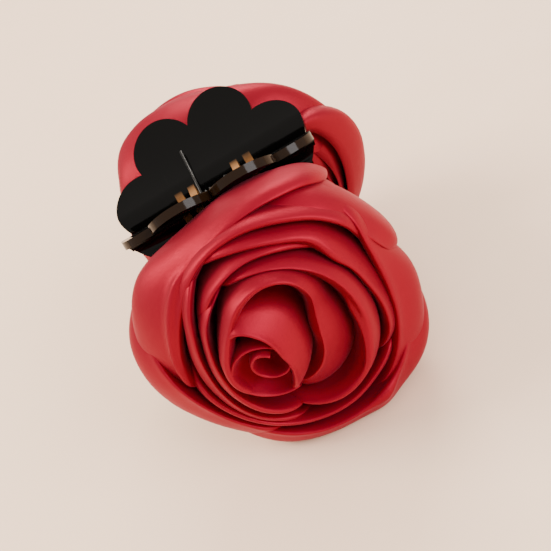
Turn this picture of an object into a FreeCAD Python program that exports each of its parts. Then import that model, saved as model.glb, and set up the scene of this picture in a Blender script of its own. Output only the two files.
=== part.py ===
"""Claw hair clip with a rolled satin rose on each half.

The clip is two moulded jaws on one hinge pin, closed by a torsion spring.
X runs along the hinge pin, Y from the front jaw (-Y) to the back jaw (+Y), Z up towards the handles.
The origin is on the surface that the clip stands on, under the middle of the hinge.
All sizes are in millimetres and all angles in degrees.
"""

import FreeCAD
import Part
import math
import os

from FreeCAD import Vector

# ---- driving dimensions of the moulded jaws
PLATE = 2.4                 # wall of the moulding
APEX_REACH = 4.0            # hinge axis to the middle of the wall beside it
APEX_RADIUS = 5.0           # the wall's bend beside the hinge
HANDLE_TURN = 68.0          # how far the wall turns outwards into the handle
HANDLE_RADIUS = 60.0        # gentle hollow of the handle
HANDLE_SWEEP = 34.0         # longer than any petal, which trims it
JAW_TURN = 40.0             # how far the wall turns outwards into the jaw
JAW_RADIUS = 20.0           # bow of the jaw around the hair
JAW_END = -64.0             # angle at which the teeth end, just past the middle
HANDLE_LEAN = 58.0          # direction from the hinge to the middle of the handle, from vertical
HALF_SPAN = 40.0            # half of the untrimmed moulding

# petal-shaped outline of the handle: (across, up the handle, radius), on each side
UPPER_PETAL = (9.6, 20.8, 10.2)
SIDE_PETAL = (21.5, 8.0, 10.0)
SHOULDER = (19.0, -12.0, 8.4)   # rounded end of the jaw: across, below the hinge, radius
JAW_BODY_HALF = 22.5

# teeth, drawn square to the wall at TOOTH_TILT below the horizontal
TOOTH_TILT = 30.0
TOOTH_PITCH = 12.0
TOOTH_ROOT = -9.0
TOOTH_TIP = 11.4
TOOTH_ROOT_HALF = 2.7
TOOTH_TIP_HALF = 1.9
JAW_BODY_END = -4.0
VALLEY_RADIUS = 3.2
FRONT_TEETH = (-2, -1, 0, 1, 2)
BACK_TEETH = (-1.5, -0.5, 0.5, 1.5)

# hinge
PIN_RADIUS = 1.0
PIN_HOLE_RADIUS = 1.05
PIN_HEAD_RADIUS = 1.7
PIN_HEAD_LENGTH = 0.8
BOSS_RADIUS = 2.4
LUG_WIDTH = 2.2
BACK_LUG_X = 7.3
FRONT_LUG_X = 11.7
RIB_END_X = 22.0
RIB_HALF_HEIGHT = 1.4
RIB_REACH = 2.0
HEAD_GAP = 0.15

# torsion spring
WIRE_RADIUS = 0.45
COIL_RADIUS = 2.05
COIL_PITCH = 1.5
COIL_TURNS = 7              # less the angle between the legs
LEG_LENGTH = 17.0

# roses
ROSE_TILT = -6.0            # the roses face a little upwards
ROSE_DROP = 26.0            # rose axis below the hinge, at the felt
FELT_Y = 15.5               # middle of the felt's back face from the hinge plane
FELT_RADIUS = 24.0
FELT_THICKNESS = 2.0
TAB = 2.0                   # thickness of a petal's sewn foot
GLUE_RADIUS = 13.0
GLUE_DEPTH = 8.0
FLAT_DEPTH = 1.3            # how far the lowest petal is pressed flat where the clip stands

# each ring of petals: name, petals, petal thickness, foot (inner, outer radius),
# belly (radius, height), rim (radius, height), angle of the first petal's middle, drift off centre
RINGS = (
    ("heart", 2, 1.6, (4.4, 6.4), (13.2, 19.5), (16.2, 43.0), 35.0, 2.6),
    ("inner", 3, 1.8, (9.6, 11.6), (20.6, 17.0), (24.6, 39.5), 80.0, 1.3),
    ("middle", 4, 2.0, (15.4, 17.2), (28.4, 14.6), (32.8, 34.0), 20.0, 0.0),
    ("outer", 5, 2.2, (20.8, 22.8), (35.4, 11.0), (40.6, 27.0), -90.0, 0.0),
)
PETAL_GAP = 2.0             # angle left between the petals of one ring
DRIFT_ANGLE = 200.0         # the rolled heart sits a little off the rose's axis, this way round
BUD_RADIUS = 9.0
BUD_FOOT_RADIUS = 3.0
BUD_BELLY_HEIGHT = 29.0
BUD_CROWN = (7.0, 40.5)     # a point halfway round the crown: radius, height
BUD_TIP_RADIUS = 1.5
BUD_HEIGHT = 46.0
BUD_DRIFT = 3.0

ORIGIN = Vector(0, 0, 0)
ALONG_X = Vector(1, 0, 0)
ALONG_Y = Vector(0, 1, 0)
ALONG_Z = Vector(0, 0, 1)
THROUGH = 80.0              # length of a trimming prism


def yz(y, z, x=0.0):
    """A point from its place in the clip's side view."""
    return Vector(x, y, z)


def on_circle(centre, radius, angle):
    """The point at that angle on a circle in the side view, 0 along +Y and 90 along +Z."""
    turn = math.radians(angle)
    return yz(centre[0] + radius * math.cos(turn), centre[1] + radius * math.sin(turn))


def arc(centre, radius, start, end):
    """An arc in the side view."""
    points = [on_circle(centre, radius, a) for a in (start, (start + end) / 2, end)]
    return Part.Arc(*points).toShape()


def wall_arcs():
    """The wall's middle line as arcs from the handle's tip down to the teeth.

    Each is (centre, radius, start, end, side); side is 1 where the centre lies outside the clip.
    """
    apex = (APEX_REACH + APEX_RADIUS, 0.0)
    top = on_circle(apex, APEX_RADIUS, 180 - HANDLE_TURN)
    low = on_circle(apex, APEX_RADIUS, 180 + JAW_TURN)
    turn = math.radians(HANDLE_TURN)
    handle = (top.y - HANDLE_RADIUS * math.cos(turn), top.z + HANDLE_RADIUS * math.sin(turn))
    turn = math.radians(JAW_TURN)
    jaw = (low.y - JAW_RADIUS * math.cos(turn), low.z - JAW_RADIUS * math.sin(turn))
    return (
        (handle, HANDLE_RADIUS, HANDLE_SWEEP - HANDLE_TURN, -HANDLE_TURN, -1),
        (apex, APEX_RADIUS, 180 - HANDLE_TURN, 180 + JAW_TURN, 1),
        (jaw, JAW_RADIUS, JAW_TURN, JAW_END, -1),
    )


def wall_side(offset):
    """The wall's middle line moved outwards by offset, as edges."""
    return [arc(c, r - side * offset, a, b) for c, r, a, b, side in wall_arcs()]


def untrimmed_wall():
    """The bent wall over the whole span, before the outline is cut."""
    outer = wall_side(PLATE / 2)
    inner = wall_side(-PLATE / 2)
    ends = [
        Part.makeLine(outer[0].Vertexes[0].Point, inner[0].Vertexes[0].Point),
        Part.makeLine(outer[-1].Vertexes[-1].Point, inner[-1].Vertexes[-1].Point),
    ]
    wire = Part.Wire(Part.__sortEdges__(outer + inner + ends))
    face = Part.Face(wire)
    face.translate(Vector(-HALF_SPAN, 0, 0))
    return face.extrude(Vector(2 * HALF_SPAN, 0, 0))


def square_prism(points, along):
    """A prism on a flat outline, reaching THROUGH / 2 both ways along a direction."""
    start = along * (-THROUGH / 2)
    face = Part.Face(Part.makePolygon([p + start for p in points + points[:1]]))
    return face.extrude(along * THROUGH)


def round_prism(centre, radius, along):
    """A cylinder through a point, reaching THROUGH / 2 both ways along a direction."""
    return Part.makeCylinder(radius, THROUGH, centre - along * (THROUGH / 2), along)


def up_handle(across, up):
    """A point on the handle's plane."""
    lean = math.radians(HANDLE_LEAN)
    return Vector(across, up * math.sin(lean), up * math.cos(lean))


def handle_outline():
    """What trims the wall above the hinge: two upper petals and two side petals."""
    lean = math.radians(HANDLE_LEAN)
    square = Vector(0, math.cos(lean), -math.sin(lean))
    shapes = []
    for across, up, radius in (UPPER_PETAL, SIDE_PETAL):
        for side in (-1, 1):
            shapes.append(round_prism(up_handle(side * across, up), radius, square))
    corners = (
        (-SIDE_PETAL[0], 0), (SIDE_PETAL[0], 0), (SIDE_PETAL[0], SIDE_PETAL[1]),
        (UPPER_PETAL[0], UPPER_PETAL[1]), (-UPPER_PETAL[0], UPPER_PETAL[1]),
        (-SIDE_PETAL[0], SIDE_PETAL[1]),
    )
    shapes.append(square_prism([up_handle(a, u) for a, u in corners], square))
    return shapes[0].multiFuse(shapes[1:])


def tooth_frame():
    """The direction square to the teeth, the direction along them, and the jaw's centre."""
    tilt = math.radians(TOOTH_TILT)
    square = Vector(0, math.cos(tilt), -math.sin(tilt))
    along = Vector(0, -math.sin(tilt), -math.cos(tilt))
    centre = wall_arcs()[2][0]
    return square, along, yz(centre[0], centre[1])


def tooth(across):
    """One tapered tooth with a round tip, as a trimming prism."""
    square, along, centre = tooth_frame()

    def place(x, q):
        return centre + along * q + ALONG_X * (across + x) - square * (THROUGH / 4)

    tip = TOOTH_TIP - TOOTH_TIP_HALF
    left = Part.makeLine(place(-TOOTH_ROOT_HALF, TOOTH_ROOT), place(-TOOTH_TIP_HALF, tip))
    end = Part.Arc(place(-TOOTH_TIP_HALF, tip), place(0, TOOTH_TIP), place(TOOTH_TIP_HALF, tip)).toShape()
    right = Part.makeLine(place(TOOTH_TIP_HALF, tip), place(TOOTH_ROOT_HALF, TOOTH_ROOT))
    root = Part.makeLine(place(TOOTH_ROOT_HALF, TOOTH_ROOT), place(-TOOTH_ROOT_HALF, TOOTH_ROOT))
    return Part.Face(Part.Wire([left, end, right, root])).extrude(square * THROUGH)


def jaw_outline(teeth):
    """What trims the wall below the hinge: petal feet, rounded shoulders and teeth."""
    square, along, centre = tooth_frame()
    wall_distance = math.sqrt(JAW_RADIUS ** 2 - JAW_BODY_END ** 2)
    end_z = centre.z + along.z * JAW_BODY_END + square.z * wall_distance
    box = Part.makeBox(2 * JAW_BODY_HALF, THROUGH, -end_z, Vector(-JAW_BODY_HALF, -THROUGH / 2, end_z))
    shapes = [box]
    foot_z = SIDE_PETAL[1] - APEX_REACH * math.sin(math.radians(HANDLE_LEAN))
    for side in (-1, 1):
        shapes.append(round_prism(Vector(side * SHOULDER[0], 0, SHOULDER[1]), SHOULDER[2], ALONG_Y))
        foot = Vector(side * SIDE_PETAL[0], 0, foot_z)
        shapes.append(round_prism(foot, SIDE_PETAL[2], ALONG_Y))
    shapes += [tooth(step * TOOTH_PITCH) for step in teeth]
    outline = shapes[0].multiFuse(shapes[1:])
    gaps = [(a + b) / 2 * TOOTH_PITCH for a, b in zip(teeth, teeth[1:])]
    valleys = [
        round_prism(centre + along * JAW_BODY_END + ALONG_X * x, VALLEY_RADIUS, square) for x in gaps
    ]
    return outline.cut(valleys)


def lug(middle_x):
    """One hinge ear: a boss round the pin with a web that runs out along the handle and the jaw."""
    arcs = wall_arcs()
    top = on_circle(arcs[0][0], HANDLE_RADIUS, -HANDLE_TURN + 4.0)
    low = on_circle(arcs[2][0], JAW_RADIUS, JAW_TURN - 8.0)
    web = [
        yz(-0.6, 2.3), top, on_circle(arcs[1][0], APEX_RADIUS, 180 - HANDLE_TURN),
        on_circle(arcs[1][0], APEX_RADIUS, 180 - HANDLE_TURN / 2), yz(APEX_REACH, 0),
        on_circle(arcs[1][0], APEX_RADIUS, 180 + JAW_TURN / 2),
        on_circle(arcs[1][0], APEX_RADIUS, 180 + JAW_TURN), low, yz(-0.6, -2.3),
    ]
    start = Vector(middle_x - LUG_WIDTH / 2, 0, 0)
    face = Part.Face(Part.makePolygon(web + web[:1]))
    face.translate(start)
    plate = face.extrude(ALONG_X * LUG_WIDTH)
    boss = Part.makeCylinder(BOSS_RADIUS, LUG_WIDTH, start, ALONG_X)
    return plate.fuse(boss)


def hinge_rib(side):
    """The bar beside a front lug that stiffens the moulding along the hinge."""
    inner_x = FRONT_LUG_X
    low = Vector(inner_x, RIB_REACH, -RIB_HALF_HEIGHT)
    rib = Part.makeBox(RIB_END_X - inner_x, APEX_REACH - RIB_REACH, 2 * RIB_HALF_HEIGHT, low)
    if side < 0:
        rib = rib.mirror(ORIGIN, ALONG_X)
    return rib


def claw_half(teeth, lug_x, ribbed):
    """One moulded half, on the +Y side, with the hinge axis on the X axis."""
    wall = untrimmed_wall()
    upper = Part.makeBox(2 * THROUGH, 2 * THROUGH, THROUGH, Vector(-THROUGH, -THROUGH, 0))
    lower = Part.makeBox(2 * THROUGH, 2 * THROUGH, THROUGH, Vector(-THROUGH, -THROUGH, -THROUGH))
    half = wall.common(upper).common(handle_outline())
    half = half.fuse(wall.common(lower).common(jaw_outline(teeth)))
    for side in (-1, 1):
        half = half.fuse(lug(side * lug_x))
        if ribbed:
            half = half.fuse(hinge_rib(side))
    hole = round_prism(ORIGIN, PIN_HOLE_RADIUS, ALONG_X)
    return half.cut(hole).removeSplitter()


def hinge_pin():
    """The steel pin with a peened head at each end."""
    reach = FRONT_LUG_X + LUG_WIDTH / 2 + HEAD_GAP
    pin = Part.makeCylinder(PIN_RADIUS, 2 * reach, Vector(-reach, 0, 0), ALONG_X)
    for side in (-1, 1):
        head = Part.makeCylinder(PIN_HEAD_RADIUS, PIN_HEAD_LENGTH, Vector(side * reach, 0, 0), ALONG_X * side)
        rim = [e for e in head.Edges if abs(e.BoundBox.Center.x) > reach + PIN_HEAD_LENGTH / 2 and e.Closed]
        head = head.makeFillet(PIN_HEAD_LENGTH / 2, rim)
        pin = pin.fuse(head)
    return pin.removeSplitter()


def torsion_spring():
    """The coil round the pin, with one leg lying along each handle."""
    lean = math.radians(HANDLE_LEAN)
    # each leg leaves the top of the coil and runs out along its own handle
    turns = COIL_TURNS - (180 - 2 * HANDLE_LEAN) / 360
    length = COIL_PITCH * turns
    helix = Part.makeHelix(COIL_PITCH, length, COIL_RADIUS)
    helix.rotate(ORIGIN, ALONG_Y, 90)
    helix.rotate(ORIGIN, ALONG_X, 270 - HANDLE_LEAN)
    helix.translate(Vector(-length / 2, 0, 0))
    edges = list(helix.Edges)
    start = edges[0].valueAt(edges[0].FirstParameter)
    end = edges[-1].valueAt(edges[-1].LastParameter)
    circle = Part.makeCircle(WIRE_RADIUS, start, edges[0].tangentAt(edges[0].FirstParameter))
    coil = Part.Wire(edges).makePipeShell([Part.Wire(circle)], True, True)
    pieces = []
    for root, side in ((start, 1), (end, -1)):
        outwards = Vector(0, side * math.sin(lean), math.cos(lean))
        pieces.append(Part.makeCylinder(WIRE_RADIUS, LEG_LENGTH, root, outwards))
        pieces.append(Part.makeSphere(WIRE_RADIUS, root))
    return coil.multiFuse(pieces).removeSplitter()


def petal(ring, index):
    """One petal as a plain curved solid: a sewn foot and a cupped blade, turned about the rose's axis."""
    count, thick, foot, belly, rim, first, off_centre = ring[1:]
    base = FELT_THICKNESS
    outer = Part.Arc(
        Vector(foot[1], 0, base), Vector(belly[0], 0, belly[1]), Vector(rim[0], 0, rim[1])
    ).toShape()
    inner = Part.Arc(
        Vector(rim[0] - thick, 0, rim[1]),
        Vector(belly[0] - 0.75 * thick, 0, belly[1] + 0.6 * thick),
        Vector(foot[0], 0, base + TAB),
    ).toShape()
    corners = ((rim[0] - thick, rim[1]), (rim[0], rim[1]), (foot[0], base + TAB), (foot[0], base), (foot[1], base))
    points = [Vector(r, 0, h) for r, h in corners]
    edges = [
        outer, Part.makeLine(points[1], points[0]), inner,
        Part.makeLine(points[2], points[3]), Part.makeLine(points[3], points[4]),
    ]
    face = Part.Face(Part.Wire(edges))
    span = 360.0 / count - PETAL_GAP
    face.rotate(ORIGIN, ALONG_Z, first + index * 360.0 / count - span / 2)
    return drifted(face.revolve(ORIGIN, ALONG_Z, span), off_centre)


def drifted(shape, distance):
    """A rose part moved off the rose's axis."""
    turn = math.radians(DRIFT_ANGLE)
    shape.translate(Vector(math.cos(turn), math.sin(turn), 0) * distance)
    return shape


def bud():
    """The rolled heart of the rose."""
    foot = Vector(BUD_FOOT_RADIUS, 0, FELT_THICKNESS)
    belly = Vector(BUD_RADIUS, 0, BUD_BELLY_HEIGHT)
    crown_middle = Vector(BUD_CROWN[0], 0, BUD_CROWN[1])
    tip = Vector(BUD_TIP_RADIUS, 0, BUD_HEIGHT)
    edges = [
        Part.makeLine(foot, belly),
        Part.Arc(belly, crown_middle, tip).toShape(),
        Part.makeLine(tip, Vector(0, 0, BUD_HEIGHT)),
        Part.makeLine(Vector(0, 0, BUD_HEIGHT), Vector(0, 0, FELT_THICKNESS)),
        Part.makeLine(Vector(0, 0, FELT_THICKNESS), foot),
    ]
    return drifted(Part.Face(Part.Wire(edges)).revolve(ORIGIN, ALONG_Z, 360), BUD_DRIFT)


def rose_reach():
    """How far the outer petals reach below the middle of the felt, once the rose is tilted."""
    lowest = petal(RINGS[-1], 0)
    lowest.rotate(ORIGIN, ALONG_X, ROSE_TILT)
    return -lowest.optimalBoundingBox(False).YMin


def in_place(shape, centre_z):
    """A rose part, drawn about +Z, moved to the front of the clip."""
    shape = shape.copy()
    shape.rotate(ORIGIN, ALONG_X, 90 + ROSE_TILT)
    shape.translate(Vector(0, -FELT_Y, centre_z))
    return shape


def rose_parts(centre_z):
    """The front rose's solids by name, without its glue."""
    floor = Part.makeBox(4 * THROUGH, 4 * THROUGH, THROUGH, Vector(-2 * THROUGH, -2 * THROUGH, -THROUGH))
    parts = {}
    for ring in RINGS:
        for index in range(ring[1]):
            blade = in_place(petal(ring, index), centre_z).cut(floor)
            parts[f"petal_{ring[0]}_{index + 1}"] = blade
    parts["rose_bud"] = in_place(bud(), centre_z)
    parts["felt_backing"] = in_place(Part.makeCylinder(FELT_RADIUS, FELT_THICKNESS), centre_z)
    return parts


def glue_pad(centre_z, jaw, side):
    """The set glue between one jaw's outer face and its felt; side is 1 for the back."""
    pad = in_place(Part.makeCylinder(GLUE_RADIUS, GLUE_DEPTH, Vector(0, 0, -GLUE_DEPTH)), centre_z)
    if side > 0:
        pad.rotate(ORIGIN, ALONG_Z, 180)
    return max(pad.cut(jaw).Solids, key=lambda piece: side * piece.CenterOfMass.y)


def build():
    """Every sub-part by node name, in the clip's frame."""
    rose_z = rose_reach() - FLAT_DEPTH
    hinge = Vector(0, 0, rose_z + ROSE_DROP)
    front_jaw = claw_half(FRONT_TEETH, FRONT_LUG_X, True)
    front_jaw.rotate(ORIGIN, ALONG_Z, 180)
    nodes = {
        "back_jaw": claw_half(BACK_TEETH, BACK_LUG_X, False),
        "front_jaw": front_jaw,
        "hinge_pin": hinge_pin(),
        "torsion_spring": torsion_spring(),
    }
    for shape in nodes.values():
        shape.translate(hinge)
    nodes["front_glue_pad"] = glue_pad(rose_z, nodes["front_jaw"], -1)
    nodes["back_glue_pad"] = glue_pad(rose_z, nodes["back_jaw"], 1)
    for name, shape in rose_parts(rose_z).items():
        nodes["front_" + name] = shape
        opposite = shape.copy()
        opposite.rotate(ORIGIN, ALONG_Z, 180)
        nodes["back_" + name] = opposite
    print("hinge height", round(hinge.z, 3), "rose axis height", round(rose_z, 3))
    return nodes


def main():
    """Writes one STEP file for each sub-part."""
    os.makedirs("parts", exist_ok=True)
    for name, shape in build().items():
        solid = shape.Solids[0] if len(shape.Solids) == 1 else shape
        box = solid.optimalBoundingBox(False)
        print(
            f"{name:24s} solids {len(shape.Solids)} valid {shape.isValid()} volume {solid.Volume:9.2f}"
            f"  x {box.XMin:.2f} {box.XMax:.2f}  y {box.YMin:.2f} {box.YMax:.2f}  z {box.ZMin:.2f} {box.ZMax:.2f}"
        )
        solid.exportStep(f"parts/{name}.step")


main()
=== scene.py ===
"""Looks of a double-sided rose claw clip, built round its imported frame.

The moulded jaws, the hinge pin and the spring are the frame's own nodes, dressed with procedural finishes.
Every petal and bud is a strip of satin folded in half, worked out as a surface on a grid of two parameters.
All lengths are in metres unless a name says otherwise, and every piece's place is in its mesh.
"""

import logging
import math
from dataclasses import dataclass, field
from enum import Enum

import bmesh
import bpy
import numpy as np
from mathutils import Matrix, Vector


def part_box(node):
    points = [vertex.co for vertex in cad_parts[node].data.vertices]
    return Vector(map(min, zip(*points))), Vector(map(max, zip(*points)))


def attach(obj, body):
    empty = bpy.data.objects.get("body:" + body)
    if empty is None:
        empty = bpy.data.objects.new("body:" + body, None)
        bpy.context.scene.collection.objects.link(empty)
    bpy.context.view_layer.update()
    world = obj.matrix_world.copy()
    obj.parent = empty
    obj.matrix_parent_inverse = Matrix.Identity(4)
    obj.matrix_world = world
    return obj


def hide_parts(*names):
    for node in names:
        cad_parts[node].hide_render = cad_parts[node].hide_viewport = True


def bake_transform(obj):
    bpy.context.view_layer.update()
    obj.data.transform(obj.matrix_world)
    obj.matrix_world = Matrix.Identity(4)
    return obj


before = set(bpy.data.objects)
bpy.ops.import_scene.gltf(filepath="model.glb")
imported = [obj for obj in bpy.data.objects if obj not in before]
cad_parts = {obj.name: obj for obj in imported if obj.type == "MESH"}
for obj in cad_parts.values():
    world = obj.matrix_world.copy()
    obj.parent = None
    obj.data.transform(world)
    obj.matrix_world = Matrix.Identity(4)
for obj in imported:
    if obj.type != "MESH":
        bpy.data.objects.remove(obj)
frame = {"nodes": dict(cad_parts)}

LOG = logging.getLogger("rose_clip")
MM = 0.001
SEAM_GAP = 1e-6

# A station on a folded rim: angle in degrees, radius, height and outward flare in mm.
Station = tuple[float, float, float, float]


class Side(Enum):
    """Which half of the clip a piece belongs to."""

    FRONT = "front"
    BACK = "back"

    @property
    def body(self) -> str:
        """The moving body that this side's pieces ride on."""
        return f"{self.value}_half"


class Ring(Enum):
    """The rings of petals, from the bud outwards."""

    HEART = "heart"
    INNER = "inner"
    MIDDLE = "middle"
    OUTER = "outer"


# ---------------------------------------------------------------- shader helpers


class Nodes:
    """A node tree with short ways to add and join nodes."""

    def __init__(self, tree: bpy.types.NodeTree) -> None:
        """Keeps the tree that nodes are added to."""
        self.tree = tree

    def add(self, kind: str, settings: dict | None = None, **inputs: object) -> bpy.types.Node:
        """Adds one node.

        Args:
            kind: The node's type name without its ShaderNode prefix.
            settings: Plain attributes of the node, such as its operation.
            inputs: Socket values or joined sockets, with spaces in names written as underscores.

        Returns:
            The new node.
        """
        node = self.tree.nodes.new(f"ShaderNode{kind}")
        for name, value in (settings or {}).items():
            setattr(node, name, value)
        for name, value in inputs.items():
            self.feed(node.inputs[name.replace("_", " ")], value)
        return node

    def feed(self, socket: bpy.types.NodeSocket, value: object) -> None:
        """Joins a socket to another one, or sets its value.

        Args:
            socket: The input that is fed.
            value: Another node's output, or a plain value.
        """
        if isinstance(value, bpy.types.NodeSocket):
            self.tree.links.new(value, socket)
        else:
            socket.default_value = value

    def math(
        self, operation: str, first: object, second: object = 0.0, clamp: bool = False
    ) -> bpy.types.NodeSocket:
        """Adds one operation on one or two numbers.

        Args:
            operation: The operation's name, such as MULTIPLY.
            first: The first number, plain or joined.
            second: The second number, plain or joined.
            clamp: Whether the result is held between 0 and 1.

        Returns:
            The result.
        """
        node = self.add("Math", {"operation": operation, "use_clamp": clamp})
        self.feed(node.inputs[0], first)
        self.feed(node.inputs[1], second)
        return node.outputs[0]

    def spread(
        self, value: object, low: float, high: float, to_low: float, to_high: float
    ) -> bpy.types.NodeSocket:
        """Carries a number from the span low..high to the span to_low..to_high, clamped.

        Args:
            value: The number to carry.
            low: Where the first span starts.
            high: Where the first span ends.
            to_low: What low becomes.
            to_high: What high becomes.

        Returns:
            The carried number.
        """
        node = self.add("MapRange", {"clamp": True})
        for index, item in enumerate((value, low, high, to_low, to_high)):
            self.feed(node.inputs[index], item)
        return node.outputs[0]

    def blend(self, share: object, first: object, second: object) -> bpy.types.NodeSocket:
        """Mixes two colours.

        Args:
            share: How much of the second colour there is.
            first: The colour at a share of 0.
            second: The colour at a share of 1.

        Returns:
            The mixed colour.
        """
        node = self.add("Mix", {"data_type": "RGBA"})
        self.feed(node.inputs[0], share)
        self.feed(node.inputs[6], first)
        self.feed(node.inputs[7], second)
        return node.outputs[2]


class EffectLibrary:
    """The effects that several materials share, each built once as a node group."""

    def __init__(self) -> None:
        """Builds every shared effect."""
        self.weave = self._weave()
        self.mottle = self._mottle()
        self.handling = self._handling()

    @staticmethod
    def _start(name: str, inputs: dict[str, tuple[str, object]], outputs: dict[str, str]) -> tuple:
        """Makes an empty group with its sockets.

        Args:
            name: The group's name.
            inputs: Each input's socket type and default value, or None for no default.
            outputs: Each output's socket type.

        Returns:
            The group, its Nodes helper, its input node and its output node.
        """
        group = bpy.data.node_groups.new(name, "ShaderNodeTree")
        for label, (kind, value) in inputs.items():
            socket = group.interface.new_socket(name=label, in_out="INPUT", socket_type=kind)
            if value is not None:
                socket.default_value = value
        for label, kind in outputs.items():
            group.interface.new_socket(name=label, in_out="OUTPUT", socket_type=kind)
        nodes = Nodes(group)
        return group, nodes, group.nodes.new("NodeGroupInput"), group.nodes.new("NodeGroupOutput")

    def _weave(self) -> bpy.types.NodeTree:
        """Satin's long warp floats crossed by fine wefts.

        The height is 0.7 |sin warp| + 0.3 |sin weft| sin^2 warp, where warp turns once a thread and
        weft turns five times as slowly.
        """
        group, n, into, out = self._start(
            "satin_weave",
            {"Cloth": ("NodeSocketVector", None), "Thread": ("NodeSocketFloat", 0.00022)},
            {"Height": "NodeSocketFloat", "Slub": "NodeSocketFloat"},
        )
        turn = n.math("DIVIDE", math.pi, into.outputs["Thread"])
        parts = n.add("SeparateXYZ", Vector=into.outputs["Cloth"])
        warp = n.math("ABSOLUTE", n.math("SINE", n.math("MULTIPLY", parts.outputs[0], turn)))
        weft_turn = n.math("MULTIPLY", n.math("MULTIPLY", parts.outputs[1], turn), 0.2)
        weft = n.math("ABSOLUTE", n.math("SINE", weft_turn))
        crossing = n.math("MULTIPLY", n.math("MULTIPLY", warp, warp), n.math("MULTIPLY", weft, 0.3))
        n.feed(out.inputs["Height"], n.math("ADD", n.math("MULTIPLY", warp, 0.7), crossing))
        stretch = n.add("Mapping", Vector=into.outputs["Cloth"], Scale=(900.0, 60.0, 1.0))
        slub = n.add("TexNoise", Vector=stretch.outputs[0], Scale=1.0, Detail=2.0)
        n.feed(out.inputs["Slub"], slub.outputs["Fac"])
        return group

    def _mottle(self) -> bpy.types.NodeTree:
        """Slow and fine variation over a surface, from 0 to 1."""
        group, n, into, out = self._start(
            "soft_mottle",
            {
                "Place": ("NodeSocketVector", None),
                "Slow": ("NodeSocketFloat", 60.0),
                "Fine": ("NodeSocketFloat", 700.0),
            },
            {"Slow": "NodeSocketFloat", "Fine": "NodeSocketFloat"},
        )
        for label in ("Slow", "Fine"):
            place, scale = into.outputs["Place"], into.outputs[label]
            noise = n.add("TexNoise", Vector=place, Scale=scale, Detail=3.0, Roughness=0.55)
            n.feed(out.inputs[label], noise.outputs["Fac"])
        return group

    def _handling(self) -> bpy.types.NodeTree:
        """Hairline scratches and dull fingerprints of a handled part, from 0 to 1."""
        group, n, into, out = self._start(
            "handling_marks",
            {"Place": ("NodeSocketVector", None)},
            {"Scratch": "NodeSocketFloat", "Smudge": "NodeSocketFloat"},
        )
        turned = n.add(
            "Mapping", Vector=into.outputs["Place"], Rotation=(0.4, 0.9, 0.5), Scale=(3000.0, 90.0, 160.0)
        )
        lines = n.add("TexNoise", Vector=turned.outputs[0], Scale=1.0, Detail=1.0)
        n.feed(out.inputs["Scratch"], n.spread(lines.outputs["Fac"], 0.70, 0.80, 0.0, 0.6))
        smudge = n.add("TexNoise", Vector=into.outputs["Place"], Scale=95.0, Detail=4.0, Roughness=0.6)
        n.feed(out.inputs["Smudge"], n.spread(smudge.outputs["Fac"], 0.42, 0.66, 0.0, 1.0))
        return group


def new_material(name: str) -> tuple[bpy.types.Material, Nodes, bpy.types.Node]:
    """Starts a node material and returns it with its helper and its Principled shader."""
    material = bpy.data.materials.new(name)
    material.use_nodes = True
    return material, Nodes(material.node_tree), material.node_tree.nodes["Principled BSDF"]


def use_effect(nodes: Nodes, group: bpy.types.NodeTree, **inputs: object) -> bpy.types.Node:
    """Places a shared effect in a material and feeds its inputs."""
    node = nodes.add("Group")
    node.node_tree = group
    for name, value in inputs.items():
        nodes.feed(node.inputs[name], value)
    return node


# ---------------------------------------------------------------- finishes


@dataclass(frozen=True)
class SatinFinish:
    """Dyed polyester satin: a soft sheen over a fine weave, with painted shade: its colour is blended towards
    a duller red down in the folds.
    """

    name: str
    # Painted shade: the first colour is the red on the folds, the second a duller red painted down in the
    # folds, where shade falls.
    lit: tuple = (0.240, 0.0046, 0.0170, 1.0)
    painted_shade: tuple = (0.225, 0.0080, 0.0175, 1.0)
    thread: float = 0.00022

    def build(self, effects: EffectLibrary) -> bpy.types.Material:
        """Builds the material on the cloth's own UV, which is in metres of cloth."""
        material, n, shader = new_material(self.name)
        uv = n.add("UVMap", {"uv_map": "cloth"})
        place = n.add("TexCoord")
        weave = use_effect(n, effects.weave, Cloth=uv.outputs[0], Thread=self.thread)
        mottle = use_effect(n, effects.mottle, Place=place.outputs["Object"], Slow=70.0, Fine=900.0)
        reach = n.add("Attribute", {"attribute_name": "reach"})
        # Painted shade: the colour goes from the lit red on the fold to the duller red at the feet, with a
        # little random tone and slub on top.
        depth = n.spread(reach.outputs["Fac"], 0.0, 0.75, 0.0, 1.0)
        shade_and_tone = n.math("MULTIPLY", depth, n.spread(mottle.outputs["Slow"], 0.3, 0.7, 0.86, 1.0))
        shade_tone_and_slub = n.math("MULTIPLY", shade_and_tone, n.spread(weave.outputs["Slub"], 0.3, 0.7, 0.95, 1.0))
        n.feed(shader.inputs["Base Color"], n.blend(shade_tone_and_slub, self.painted_shade, self.lit))
        n.feed(shader.inputs["Roughness"], n.spread(mottle.outputs["Slow"], 0.25, 0.75, 0.36, 0.46))
        height = n.math("ADD", n.math("MULTIPLY", weave.outputs["Height"], 0.25), mottle.outputs["Fine"])
        bump = n.add("Bump", Strength=0.22, Distance=0.00025, Height=height)
        n.feed(shader.inputs["Normal"], bump.outputs[0])
        shader.inputs["Sheen Weight"].default_value = 0.06
        shader.inputs["Sheen Roughness"].default_value = 0.42
        shader.inputs["Sheen Tint"].default_value = (1.0, 0.22, 0.34, 1.0)
        shader.inputs["Metallic"].default_value = 0.45
        shader.inputs["Specular IOR Level"].default_value = 0.10
        shader.inputs["Specular Tint"].default_value = (1.0, 0.34, 0.46, 1.0)
        return material


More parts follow.
